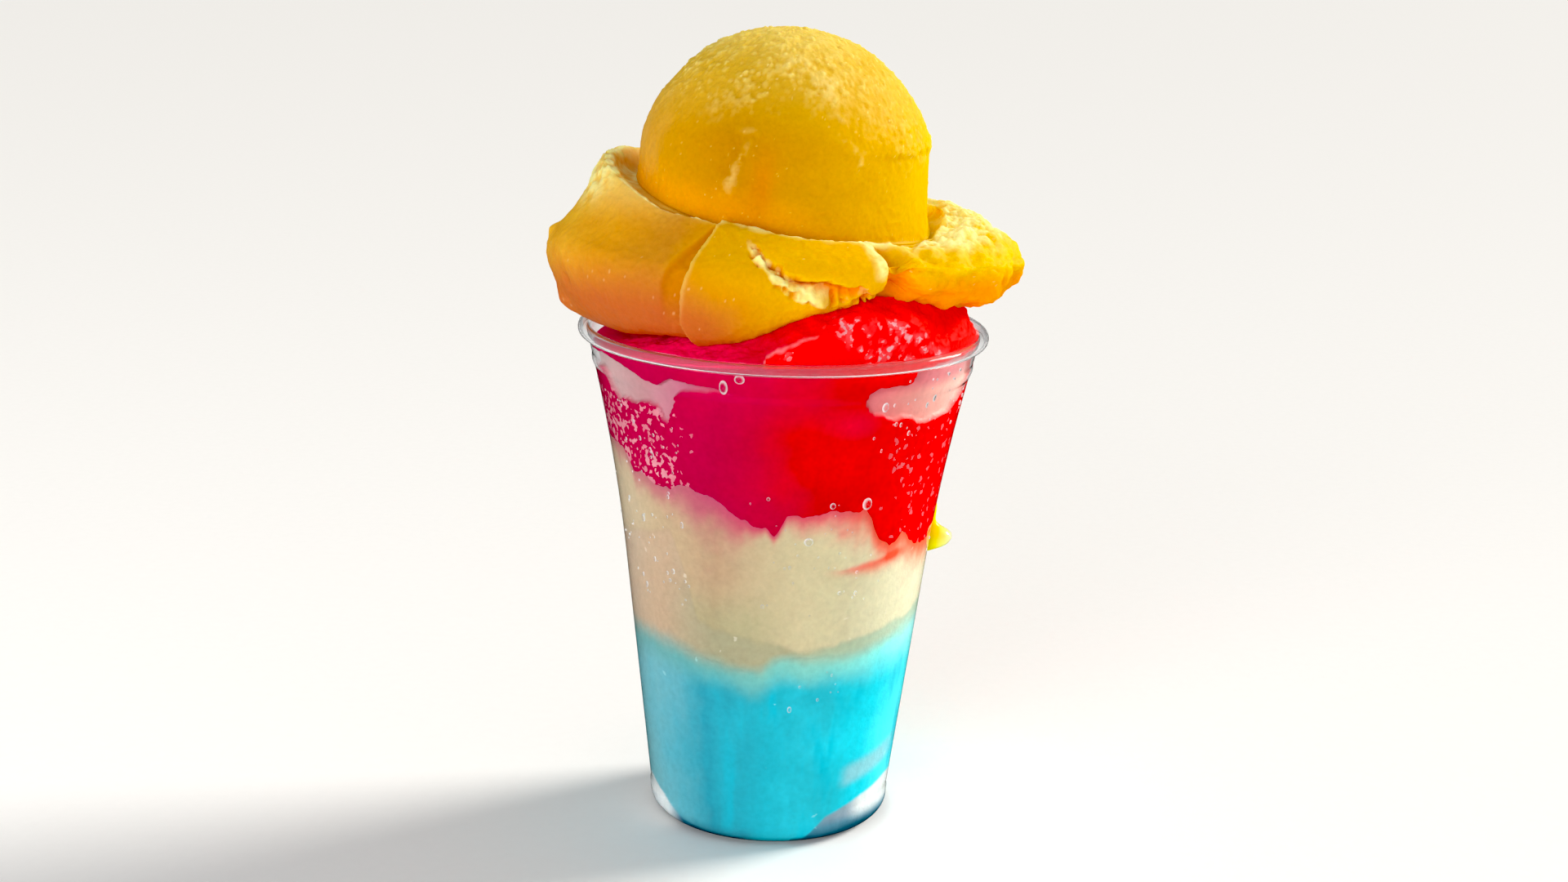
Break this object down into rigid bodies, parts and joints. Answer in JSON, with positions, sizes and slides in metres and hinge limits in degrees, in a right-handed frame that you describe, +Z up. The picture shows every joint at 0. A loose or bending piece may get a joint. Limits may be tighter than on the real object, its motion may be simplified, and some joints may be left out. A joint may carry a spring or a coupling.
{
  "type": "sorbet cup",
  "caption": "Tall clear disposable cup of blue, cream and red ice in layers, heaped at the rim, with a large pressed ball of mango sorbet and its folded collar on top.",
  "frame": {"origin": "centre of the cup's foot, on the surface that it stands on", "axes": "+Z up along the cup's axis, -Y towards the viewer of the picture, +X to the viewer's right"},
  "size_m": [0.114, 0.0981, 0.192],
  "materials": {
    "clear_plastic": "clear thin pressed plastic sheet, glossy",
    "blue_ice": "wet fine ice, bright blue",
    "cream_ice": "wet fine ice, pale cream",
    "red_ice": "wet coarse ice, deep red, with pale crystals",
    "mango_sorbet": "frozen fruit sorbet, satin, finely grained"
  },
  "bodies": {
    "root": {"cup": "clear_plastic", "blue_ice": "blue_ice", "cream_ice": "cream_ice", "red_ice": "red_ice", "mango_scoop": "mango_sorbet", "mango_drip": "mango_sorbet"}
  },
  "joints": []
}
